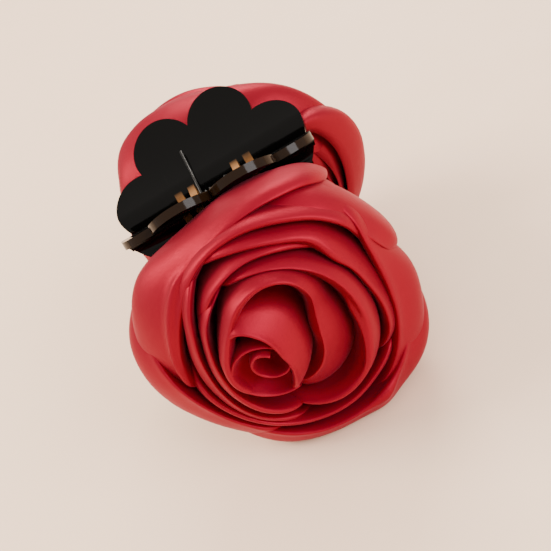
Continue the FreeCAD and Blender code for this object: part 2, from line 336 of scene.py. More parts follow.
@dataclass(frozen=True)
class FeltFinish:
    """Pressed wool felt: no gloss, a tangle of short fibres."""

    name: str
    wool: tuple = (0.30, 0.012, 0.022, 1.0)
    fluff: tuple = (0.44, 0.05, 0.07, 1.0)

    def build(self, effects: EffectLibrary) -> bpy.types.Material:
        """Builds the material on object coordinates."""
        material, n, shader = new_material(self.name)
        place = n.add("TexCoord")
        mottle = use_effect(n, effects.mottle, Place=place.outputs["Object"], Slow=240.0, Fine=2400.0)
        n.feed(shader.inputs["Base Color"], n.blend(mottle.outputs["Fine"], self.wool, self.fluff))
        n.feed(shader.inputs["Roughness"], n.spread(mottle.outputs["Slow"], 0.3, 0.7, 0.88, 0.98))
        height = n.math("ADD", mottle.outputs["Fine"], n.math("MULTIPLY", mottle.outputs["Slow"], 0.6))
        bump = n.add("Bump", Strength=0.6, Distance=0.0006, Height=height)
        n.feed(shader.inputs["Normal"], bump.outputs[0])
        shader.inputs["Sheen Weight"].default_value = 0.5
        return material


@dataclass(frozen=True)
class GlueFinish:
    """Set hot glue: a cloudy amber skin with slow ripples."""

    name: str
    amber: tuple = (0.28, 0.17, 0.085, 1.0)
    cloudy: tuple = (0.40, 0.29, 0.18, 1.0)

    def build(self, effects: EffectLibrary) -> bpy.types.Material:
        """Builds the material on object coordinates."""
        material, n, shader = new_material(self.name)
        place = n.add("TexCoord")
        mottle = use_effect(n, effects.mottle, Place=place.outputs["Object"], Slow=150.0, Fine=600.0)
        n.feed(shader.inputs["Base Color"], n.blend(mottle.outputs["Slow"], self.amber, self.cloudy))
        n.feed(shader.inputs["Roughness"], n.spread(mottle.outputs["Fine"], 0.3, 0.7, 0.25, 0.42))
        bump = n.add("Bump", Strength=0.7, Distance=0.0012, Height=mottle.outputs["Slow"])
        n.feed(shader.inputs["Normal"], bump.outputs[0])
        shader.inputs["Subsurface Weight"].default_value = 0.15
        return material


@dataclass(frozen=True)
class MouldedPlasticFinish:
    """Glossy black moulded plastic, with a painted amber reflection on the hinge ears and painted warm light
    on its cut edges.
    """

    name: str
    pin_height: float
    ears: tuple[float, ...]
    lean: float = math.radians(58.0)
    black: tuple = (0.0012, 0.0011, 0.001, 1.0)
    # Painted reflection: the amber is warm light painted on the hinge ears.
    amber: tuple = (0.36, 0.165, 0.06, 1.0)
    # Painted light: a warm brown painted on the handles' cut edges.
    edge: tuple = (0.30, 0.125, 0.035, 1.0)
    edge_glow: float = 0.035

    def build(self, effects: EffectLibrary) -> bpy.types.Material:
        """Builds the material: the painted amber reflection holds within the ears' width and near the pin."""
        material, n, shader = new_material(self.name)
        place = n.add("TexCoord")
        parts = n.add("SeparateXYZ", Vector=place.outputs["Object"])
        across = n.math("ABSOLUTE", parts.outputs[0])
        up = n.math("SUBTRACT", parts.outputs[2], self.pin_height)
        up_squared = n.math("MULTIPLY", up, up)
        out_squared = n.math("MULTIPLY", parts.outputs[1], parts.outputs[1])
        radius = n.math("SQRT", n.math("ADD", up_squared, out_squared))
        near_pin = n.spread(radius, 0.0034, 0.0060, 1.0, 0.0)
        in_ear: object = 0.0
        for middle in self.ears:
            distance = n.math("ABSOLUTE", n.math("SUBTRACT", across, middle))
            in_ear = n.math("ADD", in_ear, n.spread(distance, 0.00112, 0.0013, 1.0, 0.0), clamp=True)
        marks = use_effect(n, effects.handling, Place=place.outputs["Object"])
        mottle = use_effect(n, effects.mottle, Place=place.outputs["Object"], Slow=220.0, Fine=1800.0)
        cloudy = n.spread(mottle.outputs["Slow"], 0.3, 0.7, 0.55, 1.0)
        # Painted reflection: warm light on the hinge ears, within their width and near the pin, a little
        # patchy.
        ear_reflection = n.math("MULTIPLY", n.math("MULTIPLY", near_pin, in_ear), cloudy)
        # Painted light: a faint warm brown on the cut edges of the handles, above the pin.
        edge_lit_black = n.blend(self._edge_light_mask(n, place), self.black, self.edge)
        n.feed(shader.inputs["Base Color"], n.blend(ear_reflection, edge_lit_black, self.amber))
        smudged = n.spread(marks.outputs["Smudge"], 0.0, 1.0, 0.09, 0.17)
        scratched = n.math("MULTIPLY", marks.outputs["Scratch"], 0.16)
        n.feed(shader.inputs["Roughness"], n.math("ADD", smudged, scratched))
        ripple = n.math("MULTIPLY", mottle.outputs["Slow"], 0.7)
        height = n.math("ADD", ripple, n.math("MULTIPLY", marks.outputs["Scratch"], -0.2))
        bump = n.add("Bump", Strength=0.18, Distance=0.0004, Height=height)
        n.feed(shader.inputs["Normal"], bump.outputs[0])
        shader.inputs["Specular IOR Level"].default_value = 0.12
        return material

    def _edge_light_mask(self, n: Nodes, place: bpy.types.Node) -> bpy.types.NodeSocket:
        """How much painted warm light the handles' cut edges get, where the normal is far from the plate's.

        The plate's normal is (0, -s cos lean, sin lean), where s is the sign of y. The mask is edge_glow
        on the edges and 0 on the faces and below the handles.
        """
        spot = n.add("SeparateXYZ", Vector=place.outputs["Object"])
        facing = n.add("SeparateXYZ", Vector=place.outputs["Normal"])
        side = n.math("SIGN", spot.outputs[1])
        level = n.math("MULTIPLY", n.math("MULTIPLY", facing.outputs[1], side), -math.cos(self.lean))
        risen = n.math("MULTIPLY", facing.outputs[2], math.sin(self.lean))
        square = n.math("ABSOLUTE", n.math("ADD", level, risen))
        above = n.spread(spot.outputs[2], self.pin_height + 0.003, self.pin_height + 0.006, 0.0, 1.0)
        return n.math("MULTIPLY", n.spread(square, 0.5, 0.8, self.edge_glow, 0.0), above)


@dataclass(frozen=True)
class SteelFinish:
    """Drawn steel wire: bright, with fine lines and a little tarnish."""

    name: str
    bright: tuple = (0.42, 0.41, 0.40, 1.0)
    tarnish: tuple = (0.20, 0.17, 0.14, 1.0)
    dull: float = 0.24

    def build(self, effects: EffectLibrary) -> bpy.types.Material:
        """Builds the material on object coordinates."""
        material, n, shader = new_material(self.name)
        place = n.add("TexCoord")
        marks = use_effect(n, effects.handling, Place=place.outputs["Object"])
        mottle = use_effect(n, effects.mottle, Place=place.outputs["Object"], Slow=420.0, Fine=3000.0)
        stained = n.spread(mottle.outputs["Slow"], 0.5, 0.8, 0.0, 0.7)
        n.feed(shader.inputs["Base Color"], n.blend(stained, self.bright, self.tarnish))
        smudged = n.spread(marks.outputs["Smudge"], 0.0, 1.0, self.dull, self.dull + 0.14)
        n.feed(shader.inputs["Roughness"], smudged)
        bump = n.add("Bump", Strength=0.04, Distance=0.00005, Height=mottle.outputs["Fine"])
        n.feed(shader.inputs["Normal"], bump.outputs[0])
        shader.inputs["Metallic"].default_value = 1.0
        return material


@dataclass(frozen=True)
class TableFinish:
    """The pale matt surface that the clip stands on."""

    name: str
    warm: tuple = (0.95, 0.66, 0.45, 1.0)
    pale: tuple = (0.96, 0.72, 0.53, 1.0)

    def build(self, effects: EffectLibrary) -> bpy.types.Material:
        """Builds the material on object coordinates."""
        material, n, shader = new_material(self.name)
        place = n.add("TexCoord")
        mottle = use_effect(n, effects.mottle, Place=place.outputs["Object"], Slow=4.0, Fine=60.0)
        n.feed(shader.inputs["Base Color"], n.blend(mottle.outputs["Slow"], self.warm, self.pale))
        n.feed(shader.inputs["Roughness"], n.spread(mottle.outputs["Fine"], 0.3, 0.7, 0.60, 0.72))
        return material


# ---------------------------------------------------------------- folded cloth


def share_of(part: np.ndarray, whole: np.ndarray) -> np.ndarray:
    """The part over the whole, and 0 where the whole is 0."""
    return np.divide(part, whole, out=np.zeros(part.shape), where=whole > 0)


def spline_weights(controls: int, samples: int) -> np.ndarray:
    """Weights of a clamped uniform cubic B-spline.

    Args:
        controls: Number of control points.
        samples: Number of points wanted along the curve.

    Returns:
        Weights shaped (samples, controls), each row adding up to one.
    """
    knots = np.concatenate((np.zeros(3), np.linspace(0.0, 1.0, controls - 2), np.ones(3)))
    at = np.linspace(0.0, 1.0, samples)
    at[-1] = 1.0 - 1e-9
    weights = ((knots[:-1] <= at[:, None]) & (at[:, None] < knots[1:])).astype(float)
    for degree in range(1, 4):
        rise = knots[degree:-1] - knots[: -degree - 1]
        fall = knots[degree + 1 :] - knots[1:-degree]
        left = share_of(at[:, None] - knots[: -degree - 1], rise)
        right = share_of(knots[degree + 1 :] - at[:, None], fall)
        weights = left * weights[:, :-1] + right * weights[:, 1:]
    return weights


def smooth_through(stations: np.ndarray, samples: int) -> np.ndarray:
    """A Catmull-Rom curve through evenly spaced stations.

    Args:
        stations: Values shaped (stations, kinds).
        samples: Number of points wanted.

    Returns:
        Values shaped (samples, kinds).
    """
    padded = np.vstack((2.0 * stations[0] - stations[1], stations, 2.0 * stations[-1] - stations[-2]))
    at = np.linspace(0.0, len(stations) - 1.0, samples)
    piece = np.minimum(at.astype(int), len(stations) - 2)
    f = (at - piece)[:, None]
    p0, p1, p2, p3 = (padded[piece + k] for k in range(4))
    bend = 2 * p0 - 5 * p1 + 4 * p2 - p3
    twist = 3 * p1 - p0 - 3 * p2 + p3
    return 0.5 * (2.0 * p1 + (p2 - p0) * f + bend * f**2 + twist * f**3)


def unit(vectors: np.ndarray) -> np.ndarray:
    """Vectors of length one."""
    return vectors / np.maximum(np.linalg.norm(vectors, axis=-1, keepdims=True), 1e-12)


def cloth_lengths(points: np.ndarray) -> tuple[np.ndarray, np.ndarray]:
    """Lengths over the cloth from its middle: along the strip, and along the profile."""
    steps = np.linalg.norm(np.diff(points, axis=0), axis=-1)
    along = np.vstack((np.zeros((1, points.shape[1])), np.cumsum(steps, axis=0)))
    steps = np.linalg.norm(np.diff(points, axis=1), axis=-1)
    profile = np.hstack((np.zeros((points.shape[0], 1)), np.cumsum(steps, axis=1)))
    return along - along[-1:] / 2.0, profile


def grid_object(name: str, points: np.ndarray, reach: np.ndarray) -> bpy.types.Object:
    """Makes a smooth quad mesh from a grid of points.

    Args:
        name: The object's name.
        points: Points shaped (rows, columns, 3).
        reach: One value a point for the reach attribute.

    Returns:
        The object, linked to the scene.
    """
    rows, columns = points.shape[:2]
    index = np.arange(rows * columns).reshape(rows, columns)
    quads = np.stack((index[:-1, :-1], index[1:, :-1], index[1:, 1:], index[:-1, 1:]), axis=-1).reshape(-1, 4)
    mesh = bpy.data.meshes.new(name)
    mesh.vertices.add(rows * columns)
    mesh.vertices.foreach_set("co", points.reshape(-1).astype(np.float32))
    mesh.loops.add(quads.size)
    mesh.loops.foreach_set("vertex_index", quads.reshape(-1).astype(np.int32))
    mesh.polygons.add(len(quads))
    mesh.polygons.foreach_set("loop_start", np.arange(0, quads.size, 4, dtype=np.int32))
    mesh.update(calc_edges=True)
    mesh.polygons.foreach_set("use_smooth", np.ones(len(quads), dtype=bool))
    along, profile = cloth_lengths(points)
    layer = mesh.uv_layers.new(name="cloth")
    uv = np.stack((along.reshape(-1)[quads.reshape(-1)], profile.reshape(-1)[quads.reshape(-1)]), axis=-1)
    layer.data.foreach_set("uv", uv.reshape(-1).astype(np.float32))
    attribute = mesh.attributes.new("reach", "FLOAT", "POINT")
    attribute.data.foreach_set("value", np.ascontiguousarray(reach, dtype=np.float32).reshape(-1))
    mesh.validate()
    item = bpy.data.objects.new(name, mesh)
    bpy.context.scene.collection.objects.link(item)
    return item


# ---------------------------------------------------------------- the rose


@dataclass(frozen=True)
class RoseFrame:
    """Where one rose sits: its centre on the felt's back face, and its own three directions."""

    side: Side
    tilt: float = math.radians(6.0)
    felt: float = 0.002
    nod: float = 0.094
    tall: float = 1.04

    @property
    def turned(self) -> float:
        """1 for the front rose and -1 for the back one, which is turned half round the upright."""
        return 1.0 if self.side is Side.FRONT else -1.0

    @property
    def across(self) -> np.ndarray:
        """The direction across the rose, along the hinge."""
        return np.array((self.turned, 0.0, 0.0))

    @property
    def up(self) -> np.ndarray:
        """The direction up the rose's face."""
        return np.array((0.0, self.turned * math.sin(self.tilt), math.cos(self.tilt)))

    @property
    def axis(self) -> np.ndarray:
        """The direction that the rose faces."""
        return np.array((0.0, -self.turned * math.cos(self.tilt), math.sin(self.tilt)))

    @property
    def centre(self) -> np.ndarray:
        """The middle of the felt's back face."""
        low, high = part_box(f"{self.side.value}_felt_backing")
        middle = (np.array(low) + np.array(high)) / 2.0
        return middle - self.axis * self.felt / 2.0

    def place(self, x: np.ndarray, u: np.ndarray, h: np.ndarray) -> np.ndarray:
        """Points of the clip's frame from across, up and outward lengths in millimetres."""
        local = sum(np.multiply.outer(*pair) for pair in ((x, self.across), (u, self.up), (h, self.axis)))
        return self.centre + local * MM

    def drape(self, x: np.ndarray, u: np.ndarray, h: np.ndarray) -> np.ndarray:
        """Points of the cloth: the rose is a little taller than wide, tall u, and nods upwards by nod h."""
        return self.place(x, self.tall * u + self.nod * h, h)

    def settle(self, points: np.ndarray, clear: float = 0.0004, soft: float = 0.0012) -> np.ndarray:
        """Lifts cloth that would pass through the table.

        Height z becomes clear + soft log(1 + e^((z - clear) / soft)).

        Args:
            points: Points of the cloth in the clip's frame.
            clear: The lowest that cloth may lie.
            soft: How gently it is lifted.

        Returns:
            The lifted points.
        """
        settled = points.copy()
        rise = (points[..., 2] - clear) / soft
        settled[..., 2] = clear + soft * np.logaddexp(0.0, rise)
        return settled


@dataclass(frozen=True)
class Crease:
    """A soft ridge along a line over a petal's cloth.

    The line runs between two places, each given by its share across the petal and its share of
    the profile from the inner foot, over the fold, to the outer foot. Width is a share; height is in mm.
    """

    start: tuple[float, float]
    end: tuple[float, float]
    width: float
    height: float

    def lift(self, across: np.ndarray, profile: np.ndarray) -> np.ndarray:
        """Height of the ridge: a bell of the distance to the line, faded near the line's ends."""
        (a, b), (c, d) = self.start, self.end
        run, climb = c - a, d - b
        along = ((across - a) * run + (profile - b) * climb) / (run * run + climb * climb)
        held = np.clip(along, 0.0, 1.0)
        gap = np.hypot(across - a - held * run, profile - b - held * climb)
        return self.height * np.exp(-((gap / self.width) ** 2))


@dataclass(frozen=True)
class Petal:
    """One folded petal, led by stations along its folded rim.

    Each station gives the rim's angle in degrees, radius and height in mm, and how many mm the
    outer layer flares outwards below the fold. The profile at each place is a cubic B-spline from
    the inner foot up the wall, over the fold and down the flared outer layer.

    Attributes:
        ring: The ring that the petal is in.
        number: Its number in the ring.
        foot: The inner foot's radius.
        stations: The folded rim.
        centre: How far the rim's middle lies across and up from the rose's axis.
        roll: The fold's radius.
        lean: How far the wall stands inside the rim.
        wave: The height of the cloth's small waves.
        creases: Soft ridges laid over the cloth.
        square: How suddenly the petal's two sides close: a high power is a square end.
        fall: How far the outer layer falls for each mm of flare.
        floor: The inner foot's height as a share of the rim's.
        sole: The height of the feet over the felt's back.
        across: Points along the rim.
        up: Points along the profile.
    """

    ring: Ring
    number: int
    foot: float
    stations: tuple[Station, ...]
    centre: tuple[float, float] = (0.0, 0.0)
    roll: float = 1.0
    lean: float = 1.2
    wave: float = 0.35
    creases: tuple[Crease, ...] = ()
    square: float = 9.0
    fall: float = 0.7
    floor: float = 0.0
    sole: float = 2.4
    across: int = 110
    up: int = 64

    @property
    def node(self) -> str:
        """The end of the frame node's name that this petal stands for."""
        return f"petal_{self.ring.value}_{self.number}"

    def profile(
        self, radius: np.ndarray, height: np.ndarray, flare: np.ndarray, end: np.ndarray
    ) -> tuple[np.ndarray, np.ndarray]:
        """The profile's radii and heights at every place across, shaped (across, up).

        End is 1 over most of the petal and falls to 0 at its two sides, where the layers meet. The
        inner foot stands at the floor share of the height, so a packed petal's wall is a shallow one.
        """
        foot = np.full_like(radius, self.foot)
        roll = self.roll * (0.15 + 0.85 * end)
        low = np.full_like(radius, self.sole)
        base = low + self.floor * (height - low)
        radii = (
            foot,
            foot + (0.75 - 0.3 * self.floor) * (radius - foot) - 0.4 * self.lean,
            radius - self.lean,
            radius - 0.9 * self.lean,
            radius - roll,
            radius,
            radius + roll,
            radius + roll + 0.45 * flare,
            radius + roll + flare,
            radius + roll + 0.9 * flare,
            foot + 0.7 * (radius - foot) + 3.0 * end,
        )
        heights = (
            base,
            base + 0.10 * (height - base),
            0.58 * base + 0.42 * height,
            0.22 * base + 0.78 * height,
            height - 1.2 * roll,
            height + 0.9 * roll,
            height - 0.6 * roll,
            height - (2.0 + 0.36 * self.fall * flare) * end,
            height - (4.6 + self.fall * flare) * end,
            0.5 * height - 3.0 * end,
            low + 1.6 * end,
        )
        weights = spline_weights(len(radii), self.up)
        return np.stack(radii, axis=1) @ weights.T, np.stack(heights, axis=1) @ weights.T

    def waves(self, share: np.ndarray, along: np.ndarray) -> np.ndarray:
        """Small waves of the cloth: four products of sines, whose phases are the petal's own chance draws.

        Args:
            share: Share across the petal, shaped (across, 1).
            along: Share of the profile, shaped (1, up).

        Returns:
            Heights in mm, shaped (across, up).
        """
        chance = np.random.default_rng(sum(map(ord, self.node)) + 31 * self.number)
        phase = chance.uniform(0.0, 2.0 * math.pi, (4, 2))
        lift = np.zeros((self.across, self.up))
        for k in range(4):
            ripple = np.sin((2.0 + 1.7 * k) * math.pi * share + phase[k, 0] + 2.2 * along)
            lift += ripple * np.sin((1.5 + k) * math.pi * along + phase[k, 1]) / (k + 1.0)
        return lift * self.wave

    def surface(self, rose: RoseFrame) -> tuple[np.ndarray, np.ndarray]:
        """The petal's cloth.

        Args:
            rose: The rose that the petal belongs to.

        Returns:
            Its points, shaped (across, up, 3), and each point's reach: 1 on the fold, 0 at the feet.
        """
        led = smooth_through(np.array(self.stations, dtype=float), self.across)
        end = np.sqrt(np.clip(1.0 - np.abs(np.linspace(-1.0, 1.0, self.across)) ** self.square, 0.0, 1.0))
        tall = self.sole + (led[:, 2] - self.sole) * (0.25 + 0.75 * end)
        radius, height = self.profile(led[:, 1], tall, led[:, 3] * end, end)
        angle = np.radians(led[:, :1]) + np.zeros_like(radius)
        risen = np.clip(0.3 + 0.7 * height / 42.0, 0.0, 1.0)
        x = self.centre[0] * risen + radius * np.cos(angle)
        u = self.centre[1] * risen + radius * np.sin(angle)
        points = rose.drape(x, u, height)
        share = np.linspace(0.0, 1.0, self.across)[:, None]
        along = np.linspace(0.0, 1.0, self.up)[None, :]
        lift = self.waves(share, along)
        for crease in self.creases:
            lift += crease.lift(share, along)
        normals = unit(np.cross(np.gradient(points, axis=0), np.gradient(points, axis=1)))
        facing = np.sign((normals[:, self.up // 2] * rose.axis).sum(-1).mean()) or 1.0
        held = end[:, None] * np.sin(math.pi * along) ** 0.5
        points = points + normals * facing * (lift * held)[..., None] * MM
        reach = np.clip(1.0 - np.abs(along - 0.5) * 2.0, 0.0, 1.0) + np.zeros_like(radius)
        return points, reach

    def make(self, rose: RoseFrame) -> bpy.types.Object:
        """Makes the petal's folded strip."""
        points, reach = self.surface(rose)
        return cloth_object(f"{rose.side.value}_satin_{self.node}", rose.settle(points), reach)


@dataclass(frozen=True)
class RolledBud:
    """The rolled end of the strip at the rose's heart: a spiral that narrows towards its foot."""

    turns: float = 1.72
    inside: float = 2.0
    outside: float = 10.3
    start: float = 40.0
    top: float = 44.4
    centre: tuple[float, float] = (-7.0, 0.8)
    sag: tuple[float, float] = (-2.6, -4.0)
    across: int = 220
    up: int = 52

    def make(self, rose: RoseFrame) -> bpy.types.Object:
        """Makes the rolled strip.

        The rim's radius is inside + (outside - inside) s, and its middle moves by sag over the turns.
        """
        s = np.linspace(0.0, 1.0, self.across)
        angle = math.radians(self.start) + 2.0 * math.pi * self.turns * s
        rim = (self.inside + (self.outside - self.inside) * s) * (1.0 + 0.07 * np.cos(2.0 * angle + 0.6))
        height = self.top - 2.6 * s + 1.3 * np.sin(angle + 0.9)
        inner = [0.08 * rim, 0.32 * rim, 0.66 * rim, rim - 0.7]
        radii = np.stack(inner + [rim, rim + 0.9, rim + 1.2, 0.7 * rim + 1.2], axis=1)
        inner = [height - 7.5, height - 7.0, height - 5.0, height - 1.6]
        heights = np.stack(inner + [height + 1.0, height - 1.0, height - 6.0, 0.4 * height], axis=1)
        weights = spline_weights(radii.shape[1], self.up)
        radius, up = radii @ weights.T, heights @ weights.T
        middle_x = (self.centre[0] + self.sag[0] * s)[:, None] * np.clip(up / self.top, 0.3, 1.0)
        middle_u = (self.centre[1] + self.sag[1] * s)[:, None] * np.clip(up / self.top, 0.3, 1.0)
        turn = angle[:, None]
        points = rose.drape(middle_x + radius * np.cos(turn), middle_u + radius * np.sin(turn), up)
        along = np.linspace(0.0, 1.0, self.up)[None, :]
        reach = np.clip(1.0 - np.abs(along - 0.55) * 2.0, 0.0, 1.0) + np.zeros_like(radius)
        return cloth_object(f"{rose.side.value}_satin_bud", points, reach)


def cloth_object(
    name: str, points: np.ndarray, reach: np.ndarray, thick: float = 0.00018
) -> bpy.types.Object:
    """Makes a sheet of satin of an even thickness.

    Args:
        name: The object's name.
        points: Points shaped (rows, columns, 3).
        reach: One value a point for the reach attribute.
        thick: The cloth's thickness.

    Returns:
        The object, linked to the scene.
    """
    item = grid_object(name, points, reach)
    wall = item.modifiers.new("cloth_thickness", "SOLIDIFY")
    wall.thickness = thick
    wall.offset = 0.0
    return item


@dataclass
class Rose:
    """One satin rose: four rings of folded petals round a rolled bud, on a felt disc."""

    side: Side
    frame: RoseFrame = field(init=False)

    def __post_init__(self) -> None:
        """Works out where the rose sits."""
        self.frame = RoseFrame(self.side)

    @staticmethod
    def heart() -> list[Petal]:
        """The hood over the bud and the wrap that crosses it."""
        hood = (
            (258, 14.4, 33, 0.6), (240, 15.6, 38.4, 0.8), (219, 16.3, 40.4, 1), (196, 16.4, 41.4, 1.2),
            (174, 15.4, 41.8, 1.5), (152, 14.2, 42.2, 1.5), (128, 14.5, 42.6, 1.5), (102, 16.8, 43, 1.5),
            (76, 19.0, 43.5, 1), (55, 19.0, 43.5, 1), (36, 16.5, 43, 2.5), (14, 12.2, 42.5, 5),
            (-12, 10.6, 42, 8), (-42, 11.6, 41, 10.5), (-72, 14.0, 39.5, 9.5), (-98, 16.8, 37.5, 6.5),
            (-122, 18.8, 33, 3),
        )
        wrap = (
            (150, 10.0, 36, 0.6), (122, 11.6, 41, 1.2), (98, 12.6, 44, 4), (72, 9.6, 45.5, 8),
            (40, 6.8, 46, 10.5), (5, 5.4, 46, 8.8), (-30, 6.4, 45.5, 6), (-58, 8.8, 44.3, 3),
            (-80, 11.0, 42, 1.2), (-108, 11.0, 38, 0.8),
        )
        return [
            Petal(
                Ring.HEART, 1, 7.4, hood,
                centre=(-2.0, 1.0), roll=0.9, lean=2.4, fall=0.42, floor=0.62, across=150,
            ),
            Petal(Ring.HEART, 2, 3.4, wrap, centre=(-8.0, -1.0), roll=0.8, lean=0.6, fall=0.35),
        ]

    @staticmethod
    def inner() -> list[Petal]:
        """Three petals round the heart."""
        top = (
            (165, 19.5, 30, 1), (140, 21.6, 34.5, 1), (112, 23.6, 37, 1), (88, 24.6, 37.2, 1),
            (66, 25.0, 36, 1), (45, 25.0, 33, 1), (25, 24.6, 29, 1),
        )
        left = (
            (100, 21.8, 34, 1), (118, 22.0, 37, 1), (138, 21.6, 38, 1.2), (160, 20.6, 38, 1.5),
            (182, 20.8, 37.6, 2), (205, 22.0, 37.5, 2.5), (228, 23.4, 37, 3), (246, 24.6, 35, 3),
            (262, 25.4, 31, 2),
        )
        right = (
            (118, 21.5, 35.5, 1), (104, 22.0, 38.2, 1), (80, 21.6, 39.6, 1), (54, 21.0, 40, 1.4),
            (28, 20.6, 40, 2), (4, 20.4, 39.6, 3), (-18, 20.8, 39.2, 4), (-40, 22.2, 38.6, 4),
            (-62, 24.0, 38, 3), (-86, 24.8, 37, 3), (-110, 24.0, 34, 2), (-128, 22.6, 30, 1),
        )
        ridge = Crease((0.50, 0.30), (0.66, 0.5), 0.05, 1.2)
        return [
            Petal(Ring.INNER, 1, 9.8, top, roll=1.0),
            Petal(Ring.INNER, 2, 10.6, left, roll=0.9, floor=0.35),
            Petal(Ring.INNER, 3, 10.0, right, roll=1.0, lean=2.6, floor=0.6, creases=(ridge,)),
        ]

    @staticmethod
    def middle() -> list[Petal]:
        """Four petals round the inner ring."""
        right = (
            (124, 29.0, 28, 1), (106, 28.8, 32.5, 1), (88, 27.6, 34.6, 1), (68, 26.8, 35, 1.5),
            (46, 27.2, 35, 3), (24, 25.2, 35, 4), (4, 25.2, 35, 4), (-16, 26.8, 34.6, 3),
            (-34, 28.4, 33.5, 2), (-50, 28.6, 30, 1), (-64, 28.0, 25, 1),
        )
        top = (
            (165, 26.6, 24, 1), (142, 27.6, 29, 1), (122, 28.6, 31.6, 1), (102, 30.0, 32, 1),
            (82, 31.0, 32.4, 1), (62, 31.8, 33, 1.2), (46, 32.8, 33, 1.2), (32, 33.0, 32.5, 1),
            (20, 31.4, 30, 0.8), (8, 30.0, 25, 0.8),
        )
        left = (
            (104, 29.6, 26, 1), (118, 28.4, 31.5, 1), (134, 26.4, 34, 1), (152, 24.4, 34.6, 1.5),
            (172, 24.0, 34.6, 2.5), (192, 25.0, 34.4, 3), (212, 26.8, 34, 3), (232, 28.4, 33.4, 3),
            (250, 29.6, 31, 2), (266, 30.0, 26, 1),
        )
        low = (
            (170, 28.2, 25, 1), (190, 29.6, 29.5, 2), (212, 30.2, 31.4, 2), (232, 30.6, 32.4, 2),
            (252, 30.6, 33, 2), (274, 30.4, 33.2, 2), (294, 29.8, 33, 2), (312, 30.8, 31, 1.6),
            (328, 31.8, 26, 1),
        )
        ridge = Crease((0.34, 0.22), (0.46, 0.46), 0.05, 1.6)
        return [
            Petal(Ring.MIDDLE, 1, 15.8, right, roll=1.2, creases=(ridge,)),
            Petal(Ring.MIDDLE, 2, 17.6, top, roll=1.2),
            Petal(Ring.MIDDLE, 3, 16.4, left, roll=1.1),
            Petal(Ring.MIDDLE, 4, 17.2, low, roll=1.2, floor=0.3),
        ]

    @staticmethod
    def outer() -> list[Petal]:
        """Five petals on the outside."""
        bottom = (
            (206, 34.8, 20, 3), (222, 35.2, 26, 6), (238, 35.4, 30, 7.5), (252, 35.6, 32, 7.5),
            (268, 35.6, 33, 7), (284, 35.6, 33, 7), (298, 35.8, 32, 8), (312, 35.8, 30, 8.5),
            (326, 35.8, 26, 7), (341, 36.0, 19, 3),
        )
        right = (
            (52, 36.2, 22, 1), (40, 35.6, 28, 1.2), (29, 34.2, 31, 1.4), (18, 31.6, 32, 2.5),
            (4, 30.0, 32, 5), (-12, 29.8, 32, 8.5), (-28, 31.0, 31.6, 9), (-44, 32.6, 31.2, 9.5),
            (-58, 34.0, 30.8, 10), (-72, 35.2, 29.2, 9), (-84, 35.6, 26, 6), (-95, 35.0, 20, 1),
        )
        corner = (
            (84, 31.0, 20, 1), (72, 32.4, 25, 1.5), (60, 33.4, 28.4, 2.5), (48, 33.8, 30.4, 3.4),
            (36, 33.4, 31, 4), (25, 33.0, 31, 4.4), (14, 33.4, 30, 4.4), (4, 34.4, 27.6, 3.4),
            (-5, 35.6, 23, 1.5),
        )
        left = (
            (38, 37.8, 20, 1), (50, 38.2, 25, 1), (64, 35.6, 28, 1.4), (80, 32.8, 29, 2.0),
            (98, 30.6, 29.6, 3), (116, 28.8, 30, 6.5), (136, 28.0, 30, 11.5), (156, 28.6, 29.6, 12),
            (174, 30.2, 28.4, 10), (190, 31.4, 26, 4), (204, 32.6, 20, 1),
        )
        side = (
            (146, 35.6, 12, 2), (157, 37.0, 17, 4), (168, 37.0, 22, 6.5), (180, 35.8, 26, 8.5),
            (192, 34.6, 28.2, 9), (206, 34.0, 28.8, 8.5), (220, 33.8, 29.4, 7.5), (236, 34.4, 29.4, 6),
            (252, 34.8, 24, 2),
        )
        low_ridge = Crease((0.62, 0.5), (0.56, 0.85), 0.06, 1.6)
        left_ridge = Crease((0.55, 0.66), (0.86, 0.56), 0.035, 1.4)
        return [
            Petal(Ring.OUTER, 1, 22.0, bottom, roll=1.2, fall=0.35, creases=(low_ridge,)),
            Petal(Ring.OUTER, 2, 21.0, right, roll=1.4, fall=0.5),
            Petal(Ring.OUTER, 3, 23.0, corner, roll=0.9, fall=0.3),
            Petal(Ring.OUTER, 4, 21.0, left, roll=1.4, creases=(left_ridge,)),
            Petal(Ring.OUTER, 5, 22.4, side, roll=1.4),
        ]

    def petals(self) -> list[Petal]:
        """Every petal of the rose, ring by ring."""
        return self.heart() + self.inner() + self.middle() + self.outer()

    def dress(self, item: bpy.types.Object, node: str, material: bpy.types.Material) -> None:
        """Gives a piece its cloth and says what it is.

        Args:
            item: The piece.
            node: The frame node that it stands for.
            material: Its finish.
        """
        flat, area = self.cut_of(item)
        item.data.materials.append(material)
        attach(item, self.side.body)
        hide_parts(node)
        LOG.info("%s: folded satin, cut %.0f by %.0f mm", item.name, flat[0] / MM, flat[1] / MM)

    @staticmethod
    def cut_of(item: bpy.types.Object, least: float = 0.31) -> tuple[tuple[float, float], float]:
        """The cut that a piece was folded from.

        Args:
            item: The piece, before it is thickened.
            least: The least share of its width times its length that a cut may fill.

        Returns:
            The cut's width and length in metres, and its flat area in square metres.
        """
        uv = np.empty(len(item.data.loops) * 2, dtype=np.float32)
        item.data.uv_layers["cloth"].data.foreach_get("uv", uv)
        spans = np.ptp(uv.reshape(-1, 2), axis=0)
        area = sum(face.area for face in item.data.polygons)
        flat = (float(spans[0]), float(spans[1]))
        whole = flat[0] * flat[1]
        return flat, float(min(max(area, least * whole), whole))

    def build(self, satin: bpy.types.Material) -> None:
        """Makes and dresses the whole rose."""
        for petal in self.petals():
            self.dress(petal.make(self.frame), f"{self.side.value}_{petal.node}", satin)
        self.dress(RolledBud().make(self.frame), f"{self.side.value}_rose_bud", satin)


